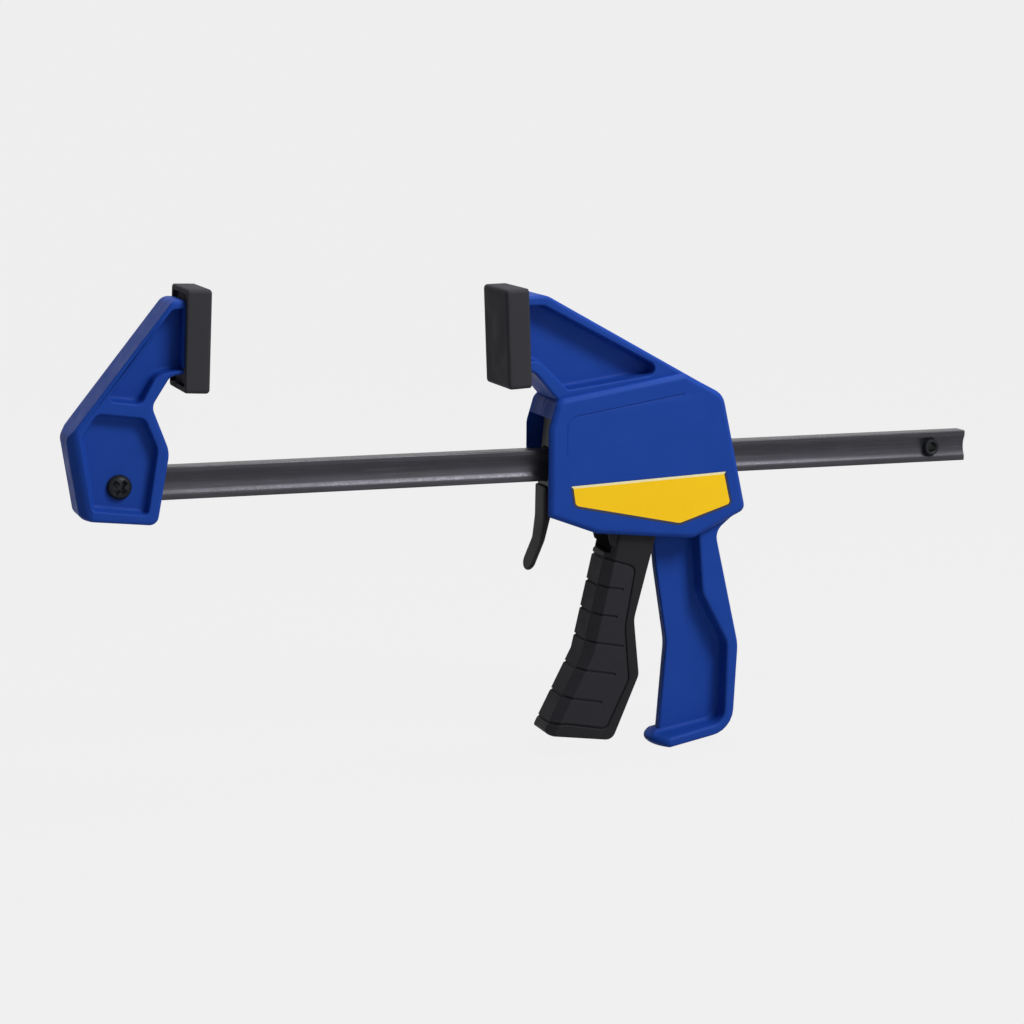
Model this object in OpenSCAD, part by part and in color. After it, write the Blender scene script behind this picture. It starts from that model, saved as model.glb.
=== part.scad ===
// Quick release bar clamp: a fixed jaw screwed to a steel bar, and a pistol grip head that slides on it.
// X runs along the bar from the fixed jaw to the free end, Z is up towards the jaws, and Y is across.
// The origin is the centre of the fixed pad's clamping face.

/* [Bar] */
// Length of the steel bar
bar_l = 462.7; // [430:0.1:900]
// Height of the bar's section
bar_h = 16; // [14:0.5:18]
// Thickness of the bar's section
bar_w = 9.5; // [8.5:0.5:11]
// Height of the hollow along each side of the bar
cove_h = 10.5; // [8:0.5:11]
// Depth of that hollow
cove_d = 1.6; // [1:0.1:2]
// Outer diameter of the stop pin near the free end
stop_d = 8; // [6:0.5:9]
// Bore of the stop pin
stop_bore = 5; // [3:0.5:5.5]
// How far the stop pin stands out of each side of the bar
stop_out = 2; // [1:0.5:4]
// Distance from the stop pin to the bar's free end
stop_end = 20.1; // [10:0.2:40]

/* [Pads] */
// Distance between the middles of the two clamping faces
opening = 147.6; // [20:0.2:250]
// Height of the fixed pad's middle over the bar's middle
pad_rise = 68.7; // [66:0.1:80]
// Height of the moving pad's middle over the bar's middle
head_rise = 65.1; // [63:0.1:76]
// Height of a pad
pad_h = 49.5; // [46:0.5:56]
// Width of a pad
pad_w = 36; // [34:0.5:44]
// Thickness of a pad
pad_t = 12.2; // [11:0.2:14]
// Thickness of a pad's clamping face and edges
pad_wall = 3.2; // [2.5:0.1:4]
// Angle by which the tops of the pads lean towards each other
toe_in = 2.25; // [0:0.25:4]

/* [Jaws] */
// Thickness of the fixed jaw
jaw_w = 28; // [26:0.5:30]
// Thickness of the moving jaw's arm
arm_w = 30; // [26:0.5:30]
// Thickness of the web in the arms
arm_web = 10; // [6:0.5:14]
// Thickness of the web round the bar's socket
socket_web = 16; // [15:0.5:18]
// Depth of the bar's socket beyond its mouth's edge
socket_end = 1; // [0.5:0.5:4]
// Width of the slope on the fixed jaw's back edge
back_slope = 4.3; // [2:0.1:4.6]
// Diameter of the screw that holds the fixed jaw
jaw_screw_d = 6; // [4:0.5:7]
// Diameter of that screw's head
jaw_head_d = 12; // [10:0.5:14]

/* [Head] */
// Width of the head's body over its two shells
body_w = 38; // [35:0.5:42]
// Thickness of the body's side walls
body_wall = 2.8; // [2:0.1:3.4]
// Slope round the raised side of the body
body_slope = 2; // [1:0.1:3]
// Width of the handle's rear rib
rib_w = 28; // [24:0.5:30]
// Thickness of the handle's web
web_w = 6; // [4:0.5:8]
// Clearance of the bar in its guides
guide_clear = 0.3; // [0.2:0.05:0.4]
// Thickness of the printed side band
band_t = 0.3; // [0.2:0.05:0.4]
// Diameter of the screws that join the shells
shell_screw_d = 3.5; // [3:0.1:4]
// Diameter of those screws' heads
shell_head_d = 6.6; // [6:0.1:7]

/* [Trigger and levers] */
// Width of the trigger
trigger_w = 28; // [25:0.5:29]
// Thickness of the trigger's side walls
trigger_wall = 3.5; // [3:0.1:4]
// Thickness of the soft grip on the trigger
grip_t = 1.5; // [1:0.1:1.8]
// Number of finger grooves in the grip
groove_n = 5; // [3:1:6]
// Width of a finger groove
groove_w = 1.2; // [0.8:0.1:2]
// Depth of a finger groove
groove_d = 0.8; // [0.4:0.1:1]
// Diameter of the trigger's pivot pin
pivot_d = 6; // [4:0.5:8]
// Thickness of the brake plate and of each drive plate
plate_t = 3.2; // [2.5:0.1:3.2]
// Width of the brake plate
brake_w = 16; // [15:0.5:20]
// Width of the drive plates
drive_w = 24; // [20:0.5:28]
// Lean of the brake plate at rest
cant = 5.5; // [3:0.5:6]
// Width of the release lever
lever_w = 15; // [10:0.5:18]
// Diameter of the springs' wire
wire_d = 1.4; // [1:0.1:1.6]
// Turns of the drive spring
drive_turns = 7; // [4:1:9]
// Turns of the brake spring
brake_turns = 3; // [2:1:3]

/* [Hidden] */
$fn = 48;
eps = 0.01;

// Fits between pieces
fit = 0.05;         // a pin in its bore, or a piece seated in another
pad_fit = 0.2;      // the jaw's tip in its pad
seat_gap = 0.3;     // between pieces that only bear on each other
side_play = 0.4;    // the trigger between the shells' bosses

// Colours as in the photograph
blue = "#20418f";
black = "#2a2b2e";
dark = "#3b3c40";
steel = "#4a4a4e";
yellow = "#f3c21c";

// Places that several pieces share. The bar's middle is pad_rise below the origin.
jaw_tip = -pad_t;                        // back of the fixed pad
bar_x0 = jaw_tip - 40.5;                 // the bar's end inside the fixed jaw
bar_x1 = bar_x0 + bar_l;
stop_x = bar_x1 - stop_end;
jaw_screw_x = jaw_tip - 31.4;
head_tip = pad_t;                        // back of the moving pad, from its clamping face
body_x = head_tip + 10.3;                // front edge of the body
rear_seat = body_x + 81.4;               // inner face of the rear wall, where the drive spring sits
bulk_x = body_x + 17.9;                  // front of the bulkhead
bulk_t = 3;
pivot_x = body_x + 26.4;                 // trigger pivot
pivot_z = bar_h / 2 + 14;
plate_x = pivot_x + 20;                  // front face of the drive plates
brake_x = body_x + 5.8;                  // middle of the brake plate at the bar's middle
brake_z = bar_h / 2 + 17.2;              // height of the notch that holds the brake plate
guide_w = bar_w + 2 * guide_clear;
guide_h = bar_h + 2 * guide_clear;
inner_w = body_w - 2 * body_wall;        // width inside the body
tip_w = pad_w - 2 * pad_wall - 2 * pad_fit;
tip_t = pad_t - 2 * pad_wall;            // thickness of the plate at each jaw's tip
cheek_out = trigger_w - 3;               // outer width over the trigger's cheeks
cheek_t = 4;
nose_x = body_x + 63;                    // front of the handle's foot
nose_r = 18;                             // and its roundness
body_mid = body_w / 2 - 2;               // where the slope round the body starts
spring_r = norm([bar_h, bar_w]) / 2 + 0.9 + wire_d / 2;

// Places of the screws that join the shells: [x, z, half length of the joint]
SHELL_SCREWS = [[head_tip + 8, 66, arm_web / 2], [head_tip + 36, 51, arm_web / 2],
    [body_x + 72, 36, body_w / 2], [body_x + 23, -26.4, body_w / 2],
    [body_x + 90, 16, body_w / 2], [body_x + 79, -126, web_w / 2]];

// A corner [x, z, r] between its neighbours becomes the points of an arc of radius r
function unit(v) = v / norm(v);
function arc_at(a, b, c, r, n) =
    let (u = unit(a - b), w = unit(c - b), half = acos(u * w) / 2,
        run = r / tan(half), mid = b + unit(u + w) * r / sin(half),
        d0 = b + u * run - mid, d1 = b + w * run - mid, phi = 180 - 2 * half)
    r < 0.2 || half > 88 ? [b] :
    [for (k = [0:n]) mid + (sin(phi * (1 - k / n)) * d0 + sin(phi * k / n) * d1) / sin(phi)];
function xz(c) = [c[0], c[1]];
function round_all(corners, n = 5) =
    let (m = len(corners))
    [for (i = [0:m - 1])
        each arc_at(xz(corners[(i + m - 1) % m]), xz(corners[i]), xz(corners[(i + 1) % m]), corners[i][2], n)];
// The same corners moved inwards by d, for corners listed counterclockwise
function inset(corners, d) =
    let (m = len(corners))
    [for (i = [0:m - 1])
        let (b = xz(corners[i]), u = unit(xz(corners[(i + m - 1) % m]) - b),
            w = unit(xz(corners[(i + 1) % m]) - b), turn = w[0] * u[1] - w[1] * u[0], p = b + (u + w) * d / turn)
        [p[0], p[1], max(0, corners[i][2] - sign(turn) * d)]];

// A flat outline in X and Z, from y0 to y1 across
module slab(points, y0, y1) {
    rotate([90, 0, 0])
        translate([0, 0, -y1])
            linear_extrude(height = y1 - y0)
                polygon(points);
}
// A round bar along Y
module pin(x, z, d, y0, y1) {
    translate([x, y0, z])
        rotate([-90, 0, 0])
            cylinder(d = d, h = y1 - y0);
}
// A block from x0, z0 to x1, z1, of the given width about the middle
module block(x0, x1, w, z0, z1) {
    translate([x0, -w / 2, z0])
        cube([x1 - x0, w, z1 - z0]);
}
// The near half, the side of Y below 0
module near_half() {
    translate([-500, -100, -500])
        cube([1500, 100, 1000]);
}
// What follows is drawn about the bar's middle, and is lowered to its place
module at_bar() {
    translate([0, 0, -pad_rise])
        children();
}
module at_head() {
    translate([opening, 0, -pad_rise])
        children();
}
// What follows is drawn about the middle of a pad's clamping face, with the pad behind it along X
module lean(rise, angle) {
    translate([0, 0, rise])
        rotate([0, angle, 0])
            children();
}

// A steel coil spring along X, one tube from x0 to x1: the end turns lie closer than the rest
function coil_x(t, turns, x0, x1) =
    let (close = wire_d + 0.55, body = (x1 - x0 - wire_d - 2 * close * 0.5) / (turns - 1))
    x0 + wire_d / 2 + (t < 0.5 ? t * close : t > turns - 0.5 ? 0.5 * close + (turns - 1) * body
        + (t - turns + 0.5) * close : 0.5 * close + (t - 0.5) * body);
function coil_mid(t, turns, x0, x1) =
    [coil_x(t, turns, x0, x1), spring_r * cos(360 * t), spring_r * sin(360 * t)];
module coil_spring(turns, x0, x1) {
    rings = turns * 8;
    sides = 6;
    points = [for (i = [0:rings]) let (t = i / 8, c = coil_mid(t, turns, x0, x1),
            out = [0, cos(360 * t), sin(360 * t)])
        for (s = [0:sides - 1]) let (a = 360 * s / sides)
            c + wire_d / 2 * (out * cos(a) + [sin(a), 0, 0])];
    skin = [for (i = [0:rings - 1]) for (s = [0:sides - 1])
        let (p = i * sides + s, q = i * sides + (s + 1) % sides)
        each [[p, q, q + sides], [p, q + sides, p + sides]]];
    first = [for (s = [1:sides - 2]) [0, s + 1, s]];
    last = [for (s = [1:sides - 2]) [rings * sides, rings * sides + s, rings * sides + s + 1]];
    polyhedron(points = points, faces = concat(skin, first, last), convexity = 8);
    gap = min([for (i = [0:rings - 8]) for (j = [i + 6:rings])
        norm(coil_mid(i / 8, turns, x0, x1) - coil_mid(j / 8, turns, x0, x1)) - wire_d]);
    echo("least gap of the spring to itself", gap);
}

// ---- The bar and what is fixed to it ----

// Rolled steel bar with a shallow hollow along each side
module bar() {
    cove_r = (cove_h * cove_h / 4 + cove_d * cove_d) / (2 * cove_d);
    color(steel)
        difference() {
            block(bar_x0, bar_x1, bar_w, -bar_h / 2, bar_h / 2);
            for (side = [-1, 1])
                translate([bar_x0 - 1, side * (bar_w / 2 - cove_d + cove_r), 0])
                    rotate([0, 90, 0])
                        cylinder(r = cove_r, h = bar_l + 2, $fn = 96);
            pin(stop_x, 0, stop_d + 2 * eps, -bar_w, bar_w);
            pin(jaw_screw_x, 0, jaw_screw_d + 2 * guide_clear, -bar_w, bar_w);
        }
}

// Hollow pin pressed through the bar, which stops the head
module stop_pin() {
    reach = bar_w / 2 + stop_out;
    color(black)
        difference() {
            pin(stop_x, 0, stop_d, -reach, reach);
            pin(stop_x, 0, stop_bore, -reach - 1, reach + 1);
        }
}

// Outlines of the fixed jaw, from the back of its pad
jaw_top = pad_rise + 19.7;
jaw_lip = pad_rise - 15.2;
JAW = [[jaw_tip - 50.6, -14.9, 5], [jaw_tip - 14.2, -bar_h / 2 - 10.8, 4.5], [jaw_tip - 7.7, 16.5, 14],
    [jaw_tip - 15.9, 38.4, 6], [jaw_tip - 6.7, jaw_lip - 0.9, 5], [jaw_tip + 2, jaw_lip, 0],
    [jaw_tip + 2, jaw_top - 0.4, 0], [jaw_tip - 4.8, jaw_top + 0.2, 6], [jaw_tip - 56.4, 24.1, 6]];
JAW_POCKET = [[jaw_tip - 49.8, 24.5, 6], [jaw_tip - 45.4, -9.9, 3], [jaw_tip - 18.8, -13.4, 2],
    [jaw_tip - 13.6, 18, 8], [jaw_tip - 19.5, 33, 4], [jaw_tip - 42.2, 36, 4]];
ARM_POCKET = [[jaw_tip - 37.8, 41.9, 2], [jaw_tip - 21.2, 39.6, 4], [jaw_tip - 13.5, jaw_lip + 0.1, 8],
    [jaw_tip - 1.8, jaw_lip + 1.9, 1.5], [jaw_tip - 1.5, jaw_top - 3.8, 1.5], [jaw_tip - 6, jaw_top - 4.6, 5]];

// The plate at a jaw's tip that the pad fits over, drawn behind the clamping face along +X
module tip_plate() {
    block(pad_wall + pad_fit, pad_t - pad_wall - pad_fit, tip_w, -pad_h / 2 + pad_wall + pad_fit,
        pad_h / 2 - pad_wall - pad_fit);
}
// The neck that joins the plate to the jaw
module tip_neck(grow = 0) {
    block(pad_t - pad_wall - 0.5, pad_t + 0.8 + grow, tip_w - 3 + 2 * grow, -13.4 - grow, 17.9 + grow);
}
// All that lies in front of a pad's back
module pad_room() {
    block(-30, pad_t + fit, pad_w + 10, -pad_h, pad_h);
}
// A soft cap over a jaw's tip, open at its back
module pad() {
    difference() {
        block(0, pad_t, pad_w, -pad_h / 2, pad_h / 2);
        block(pad_wall, pad_t - pad_wall, pad_w - 2 * pad_wall, -pad_h / 2 + pad_wall, pad_h / 2 - pad_wall);
        tip_neck(grow = pad_fit);
    }
}

// Cuts the slope of the back edge along one side of the jaw
module back_cut(side) {
    a = [JAW[8][0], JAW[8][1] - 3];
    b = [JAW[0][0], JAW[0][1]];
    run = norm(a - b);
    lean_a = atan2(a[0] - b[0], a[1] - b[1]);
    translate([b[0], side * jaw_w / 2, b[1]])
        rotate([0, lean_a, 0])
            translate([0, 0, -12])
                linear_extrude(height = run + 14)
                    polygon([[back_slope, 0], [-1, side * -6.4], [-1, side]]);
}

// Glass filled nylon jaw with a pocket in each face, a socket for the bar and a plate for the pad
module fixed_jaw() {
    color(blue)
        difference() {
            union() {
                difference() {
                    slab(round_all(JAW), -jaw_w / 2, jaw_w / 2);
                    lean(pad_rise, toe_in)
                        mirror([1, 0, 0])
                            pad_room();
                }
                lean(pad_rise, toe_in)
                    mirror([1, 0, 0]) {
                        tip_plate();
                        tip_neck();
                    }
            }
            for (side = [-1, 1]) {
                slab(round_all(JAW_POCKET), side * jaw_w / 2 - (jaw_w - socket_web) / 2,
                    side * jaw_w / 2 + (jaw_w - socket_web) / 2);
                slab(round_all(ARM_POCKET), side * jaw_w / 2 - (jaw_w - arm_web) / 2,
                    side * jaw_w / 2 + (jaw_w - arm_web) / 2);
                back_cut(side);
            }
            block(bar_x0 - socket_end, 10, bar_w + 2 * fit, -bar_h / 2 - fit, bar_h / 2 + fit);
            pin(jaw_screw_x, 0, jaw_screw_d + 2 * fit, -jaw_w, jaw_w);
        }
}

// Pan head screw with a cross recess, from the near side
module jaw_screw() {
    head_h = 3.4;
    face = -socket_web / 2;
    color(black)
        difference() {
            union() {
                pin(jaw_screw_x, 0, jaw_screw_d, face - 0.5, socket_web / 2 + 4.6);
                pin(jaw_screw_x, 0, jaw_head_d, face - head_h, face);
            }
            for (turn = [45, 135])
                translate([jaw_screw_x, face - head_h, 0])
                    rotate([0, turn, 0])
                        cube([6.4, 4.4, 1.2], center = true);
        }
}

// Hex nut on the far side
module jaw_nut() {
    color(steel)
        difference() {
            translate([jaw_screw_x, socket_web / 2, 0])
                rotate([-90, 0, 0])
                    cylinder(d = 1.9 * jaw_screw_d, h = 4.2, $fn = 6);
            pin(jaw_screw_x, 0, jaw_screw_d + 2 * fit, 0, jaw_w);
        }
}

module fixed_pad() {
    color(dark)
        lean(pad_rise, toe_in)
            mirror([1, 0, 0])
                pad();
}

// ---- The sliding head ----

// Outlines of the head, from the moving pad's clamping face
ARM = [[body_x + 1.2, 20, 0], [body_x + 93.9, 20, 0], [body_x + 93.9, 34.2, 8], [head_tip + 9.4, head_rise + 21.4, 10],
    [head_tip - 2, head_rise + 21, 0], [head_tip - 2, head_rise - 16.3, 0], [head_tip + 2.9, head_rise - 16.3, 7],
    [body_x + 4.7, 34.4, 4]];
HEAD_POCKET = [[head_tip + 2, head_rise + 16.4, 1.5], [head_tip + 2, head_rise - 11.2, 1.5],
    [head_tip + 5.6, head_rise - 11.2, 8], [body_x + 10.9, 39, 2], [body_x + 65, 46.2, 3.5],
    [head_tip + 8.1, head_rise + 16.4, 5]];
BODY = [[body_x, -24.2, 3], [body_x + 25.9, -33.9, 10], [body_x + 78.4, -39.2, 8], [body_x + 107.5, -25.6, 4],
    [body_x + 93.9, 34.2, 10], [body_x + 72.2, 45.6, 6], [body_x + 4.4, 34.8, 6], [body_x, 20, 10]];
BAND = [[body_x + 11.1, -8.9, 0.8], [body_x + 12.8, -19.9, 4], [body_x + 70.4, -31.8, 6],
    [body_x + 99.5, -22.6, 3], [body_x + 95.4, -5.2, 0.8]];
RIB = [[body_x + 84, -30, 0], [body_x + 83.4, -38, 8], [body_x + 86, -69, 14], [body_x + 100.5, -96, 10],
    [body_x + 100, -138.4, 8], [body_x + 63.2, -144.4, 1.5], [body_x + 60.4, -146.6, 2],
    [body_x + 64, -149.6, 2.5], [body_x + 104.6, -143.2, 14], [body_x + 106.8, -97, 25],
    [body_x + 92.8, -37, 8], [body_x + 104, -28, 0]];
WEB = [[body_x + 62, -34, 0], [body_x + 64.4, -56, 20], [body_x + 70.9, -96, 30], [body_x + 67, -147, 0],
    [body_x + 103, -141, 0], [body_x + 103, -97, 0], [body_x + 90, -60, 0], [body_x + 90, -34, 0]];
CAVITY = [[body_x - 8, 24.8, 0], [body_x - 8, -60, 0], [body_x + 13, -60, 0], [body_x + 15, -20.5, 1.5],
    [body_x + 27.5, -20.5, 1.5], [body_x + 33.6, -43, 0], [body_x + 33.6, -60, 0], [rear_seat, -60, 0], [rear_seat, 27, 1.5],
    [rear_seat - 3, 30.5, 1.5], [body_x + 14, 30.5, 1.5], [body_x + 12, 24.8, 0]];

// Both shells in one: arm, body and handle, before they are parted at Y 0
module head_solid() {
    difference() {
        union() {
            difference() {
                slab(round_all(ARM), -arm_w / 2, arm_w / 2);
                lean(head_rise, -toe_in)
                    pad_room();
            }
            hull() {
                slab(round_all(BODY), -body_mid, body_mid);
                slab(round_all(inset(BODY, body_slope)), -body_w / 2, body_w / 2);
            }
            lean(head_rise, -toe_in) {
                tip_plate();
                tip_neck();
            }
        }
        for (side = [-1, 1])
            slab(round_all(HEAD_POCKET), side * arm_w / 2 - (arm_w - arm_web) / 2,
                side * arm_w / 2 + (arm_w - arm_web) / 2);
        slab(round_all(CAVITY, 3), -inner_w / 2, inner_w / 2);
        // notch that traps the top of the brake plate
        block(brake_x + 0.1, brake_x + plate_t + 2.3, brake_w + 2 * seat_gap, 20, brake_z + 3);
    }
    difference() {
        slab(round_all(RIB), -rib_w / 2, rib_w / 2);
        // the front of the handle's foot is round when seen from below
        difference() {
            block(body_x + 50, nose_x + nose_r, 2 * rib_w, -156, -140);
            translate([nose_x + nose_r, 0, -157])
                cylinder(r = nose_r, h = 20);
        }
    }
    slab(round_all(WEB), -web_w / 2, web_w / 2);
    // bulkhead that guides the bar and seats the brake spring
    difference() {
        block(bulk_x, bulk_x + bulk_t, inner_w + 1, -14, 14);
        block(bulk_x - 1, bulk_x + bulk_t + 1, guide_w, -guide_h / 2, guide_h / 2);
    }
    // bosses beside the trigger's cheeks
    for (side = [-1, 1])
        pin(pivot_x, pivot_z, 2 * pivot_d, side > 0 ? cheek_out / 2 + side_play : -inner_w / 2 - 0.5,
            side > 0 ? inner_w / 2 + 0.5 : -cheek_out / 2 - side_play);
}

// What both shells have cut out of them
module head_cuts() {
    block(rear_seat - 1, body_x + 130, guide_w, -guide_h / 2, guide_h / 2);
    pin(pivot_x, pivot_z, pivot_d + 2 * fit, -body_w / 2 + 1.6, body_w / 2 - 1.6);
    for (side = [-1, 1])
        slab(round_all(BAND), side * (body_w / 2 - band_t / 2) - band_t / 2 - (side < 0 ? 1 : 0),
            side * (body_w / 2 - band_t / 2) + band_t / 2 + (side > 0 ? 1 : 0));
}

// Near shell, with blind holes for the screws
module shell_near() {
    color(blue)
        difference() {
            intersection() {
                head_solid();
                near_half();
            }
            head_cuts();
            for (s = SHELL_SCREWS)
                pin(s[0], s[1], shell_screw_d + 2 * fit, -min(s[2] - 1, 9), 1);
        }
}

// Far shell, which the screws' heads sink into
module shell_far() {
    color(blue)
        difference() {
            intersection() {
                head_solid();
                mirror([0, 1, 0])
                    near_half();
            }
            head_cuts();
            // relief beside the release lever
            slab(round_all([[body_x - 2, -60, 0], [body_x + 7, -60, 0], [body_x + 7, -9, 4], [body_x - 2, -9, 0]]),
                inner_w / 2 - 2, body_w);
            for (s = SHELL_SCREWS) {
                pin(s[0], s[1], shell_screw_d + 2 * fit, -1, body_w);
                pin(s[0], s[1], shell_head_d + 2 * seat_gap, screw_seat(s), body_w);
            }
        }
}

// Height of a screw head's seat over the parting line
function screw_seat(s) = s[2] > 10 ? 8 : s[2] - 1.8;

// Pan head screws that join the shells, from the far side
module shell_screws() {
    color(black)
        for (s = SHELL_SCREWS)
            difference() {
                union() {
                    pin(s[0], s[1], shell_screw_d, -min(s[2] - 1, 9) + 0.4, screw_seat(s) + 1);
                    pin(s[0], s[1], shell_head_d, screw_seat(s), screw_seat(s) + 2.2);
                }
                for (turn = [0, 90])
                    translate([s[0], screw_seat(s) + 2.2, s[1]])
                        rotate([0, turn, 0])
                            cube([3.6, 2.4, 0.8], center = true);
            }
}

module moving_pad() {
    color(dark)
        lean(head_rise, -toe_in)
            pad();
}

// Plain printed band in a shallow recess of each shell
module band_near() {
    color(yellow)
        slab(round_all(inset(BAND, fit)), -body_w / 2, -body_w / 2 + band_t);
}
module band_far() {
    color(yellow)
        slab(round_all(inset(BAND, fit)), body_w / 2 - band_t, body_w / 2);
}

// ---- Trigger ----

// Front edge, rear edge and foot of the trigger
TRIGGER = [[body_x + 37.8, -28, 0], [body_x + 22.2, -97, 30], [body_x + 1.4, -137.8, 2],
    [body_x + 37.3, -142.8, 5], [body_x + 51.5, -109.4, 7], [body_x + 48.4, -80, 15], [body_x + 59.5, -38, 0],
    [body_x + 60.5, -32, 2], [body_x + 56, -28, 0]];
GRIP = [[body_x - 12, -132.6, 0], [body_x + 12, -132.6, 4], [body_x + 33.8, -136.8, 4],
    [body_x + 46, -111.5, 7], [body_x + 43.5, -84, 25], [body_x + 48.9, -52.8, 4], [body_x + 34, -48, 0],
    [body_x + 20, -48, 0], [body_x - 12, -90, 0]];
CHEEK = [[body_x + 28.6, -16, 10], [body_x + 36, -42, 0], [body_x + 58, -42, 0], [body_x + 60.5, -34, 3],
    [plate_x + 4, -26.5, 1], [plate_x - 4.5, -23.5, 2], [plate_x - seat_gap, -13.5, 2.5],
    [plate_x - seat_gap, -7.5, 2], [plate_x - 4.2, -3, 4], [pivot_x + 6, 17, 0], [pivot_x - 6, 16, 0]];
// The trigger's front, in two straight runs: [x, z] of the top and foot of each
FRONT = [[[body_x + 38.3, -26], [body_x + 22.1, -97.5]], [[body_x + 22.6, -96.5], [body_x - 3.5, -147]]];

// Room inside sloped front edges: two blocks with their front corners cut, shrunk by d
module fronted(d) {
    for (run = FRONT) {
        top = run[0];
        foot = run[1];
        hull() {
            slab([[top[0] + d, top[1]], foot + [d, 0], [body_x + 70, foot[1]], [body_x + 70, top[1]]], -8 + d / 3, 8 - d / 3);
            slab([[top[0] + 4.2 + d, top[1]], foot + [4.2 + d, 0], [body_x + 70, foot[1]], [body_x + 70, top[1]]],
                -trigger_w / 2 + d, trigger_w / 2 - d);
        }
    }
}

// The trigger's outer form, with its front corners sloped
module trigger_form() {
    intersection() {
        slab(round_all(TRIGGER), -trigger_w / 2, trigger_w / 2);
        fronted(0);
    }
}

// Nylon trigger: a channel open to the rear, with two cheeks that straddle the bar up to the pivot
module trigger() {
    inner = trigger_w - 2 * trigger_wall;
    color(black)
        difference() {
            union() {
                difference() {
                    trigger_form();
                    difference() {
                        slab(round_all(GRIP), -trigger_w, trigger_w);
                        fronted(grip_t);
                    }
                }
                for (side = [-1, 1])
                    slab(round_all(CHEEK), side * (cheek_out / 2 - cheek_t / 2) - cheek_t / 2,
                        side * (cheek_out / 2 - cheek_t / 2) + cheek_t / 2);
                for (side = [-1, 1])
                    pin(pivot_x, pivot_z, 2 * pivot_d + 1, side * (cheek_out / 2 - cheek_t / 2) - cheek_t / 2,
                        side * (cheek_out / 2 - cheek_t / 2) + cheek_t / 2);
            }
            slab([[body_x + 20, -28], [body_x + 20, -45.5], [body_x + 39.4, -45.5], [body_x + 28.2, -97],
                [body_x + 7.6, -136], [body_x + 8, -160], [body_x + 70, -160], [body_x + 70, -28]],
                -inner / 2, inner / 2);
            pin(pivot_x, pivot_z, pivot_d + 2 * fit, -trigger_w, trigger_w);
        }
}

// Soft grip moulded round the trigger's front, with finger grooves
module trigger_grip() {
    color(dark)
        difference() {
            intersection() {
                trigger_form();
                slab(round_all(inset(GRIP, fit)), -trigger_w, trigger_w);
            }
            fronted(grip_t);
            difference() {
                union() {
                    for (i = [1:groove_n])
                        groove(-48 - i * 84.6 / (groove_n + 1));
                    difference() {
                        slab(round_all(TRIGGER), -trigger_w, trigger_w);
                        slab(round_all(inset(GRIP, 1)), -trigger_w - 1, trigger_w + 1);
                    }
                }
                fronted(groove_d);
            }
        }
}
module groove(z) {
    upper = z > -97;
    short = z > -85;
    front = upper ? FRONT[0][1][0] + (z + 97.5) * 0.2266 : FRONT[1][0][0] + (z + 96.5) * 0.5228;
    run = short ? 12 : 20;
    fall = short ? 2.1 : 3.8;
    slab([[front - 6, z + groove_w / 2], [front - 6, z - groove_w / 2], [front, z - groove_w / 2],
        [front + run, z - fall - groove_w / 2], [front + run, z - fall + groove_w / 2], [front, z + groove_w / 2]],
        -trigger_w, trigger_w);
}

// Steel pin on which the trigger turns, held in both shells
module trigger_pin() {
    color(steel)
        pin(pivot_x, pivot_z, pivot_d, -body_w / 2 + 1.7, body_w / 2 - 1.7);
}

// ---- Drive and brake ----

// Hardened steel plate that the trigger pushes and that bites on the bar
module drive_plate(x) {
    color(steel)
        difference() {
            block(x, x + plate_t, drive_w, -bar_h / 2 - 6.5, bar_h / 2 + 6.5);
            block(x - 1, x + plate_t + 1, guide_w, -guide_h / 2, guide_h / 2);
        }
}
module drive_plate_front() {
    drive_plate(plate_x);
}
module drive_plate_rear() {
    drive_plate(plate_x + plate_t);
}
module drive_spring() {
    color(steel)
        coil_spring(drive_turns, plate_x + 2 * plate_t, rear_seat);
}

// What follows is drawn in the leaning plane of the brake plate, about its hinge
module canted() {
    translate([brake_x + brake_z * tan(cant), 0, brake_z])
        rotate([0, cant, 0])
            children();
}
// Steel brake plate: the bar passes through it, and its lean makes it bite
brake_foot = brake_z + bar_h / 2 + 3;    // from the hinge down to the tang that carries the lever
tang_w = lever_w - 5;
tang_l = 8;
module brake_plate() {
    color(steel)
        canted()
            difference() {
                union() {
                    pin(0, 0, plate_t, -brake_w / 2, brake_w / 2);
                    block(-plate_t / 2, plate_t / 2, brake_w, -brake_foot, 0);
                    block(-plate_t / 2, plate_t / 2, tang_w, -brake_foot - tang_l, 0);
                }
                block(-plate_t, plate_t, guide_w, -brake_z / cos(cant) - bar_h / 2 - 0.5,
                    -brake_z / cos(cant) + bar_h / 2 + 0.5);
            }
}

// Moulded finger lever on the brake plate's foot
LEVER = [[body_x + 1.4, -10.4, 1], [body_x + 1.2, -27, 12], [body_x - 0.5, -39, 12], [body_x - 6.4, -53, 1],
    [body_x - 4.4, -54.4, 1.2], [body_x + 2.4, -38.4, 14], [body_x + 5.6, -24, 6], [body_x + 7.6, -19, 2],
    [body_x + 7.6, -10.8, 1]];
module release_lever() {
    color(black)
        difference() {
            slab(round_all(LEVER), -lever_w / 2, lever_w / 2);
            canted() {
                block(-plate_t / 2 - fit, plate_t / 2 + fit, tang_w + 2 * fit, -brake_foot - tang_l - fit, 0);
                block(-plate_t / 2 - fit, plate_t / 2 + fit, lever_w + 1, -brake_foot - fit, 0);
            }
        }
}
module brake_spring() {
    color(steel)
        coil_spring(brake_turns, body_x + 9, bulk_x);
}

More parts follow.
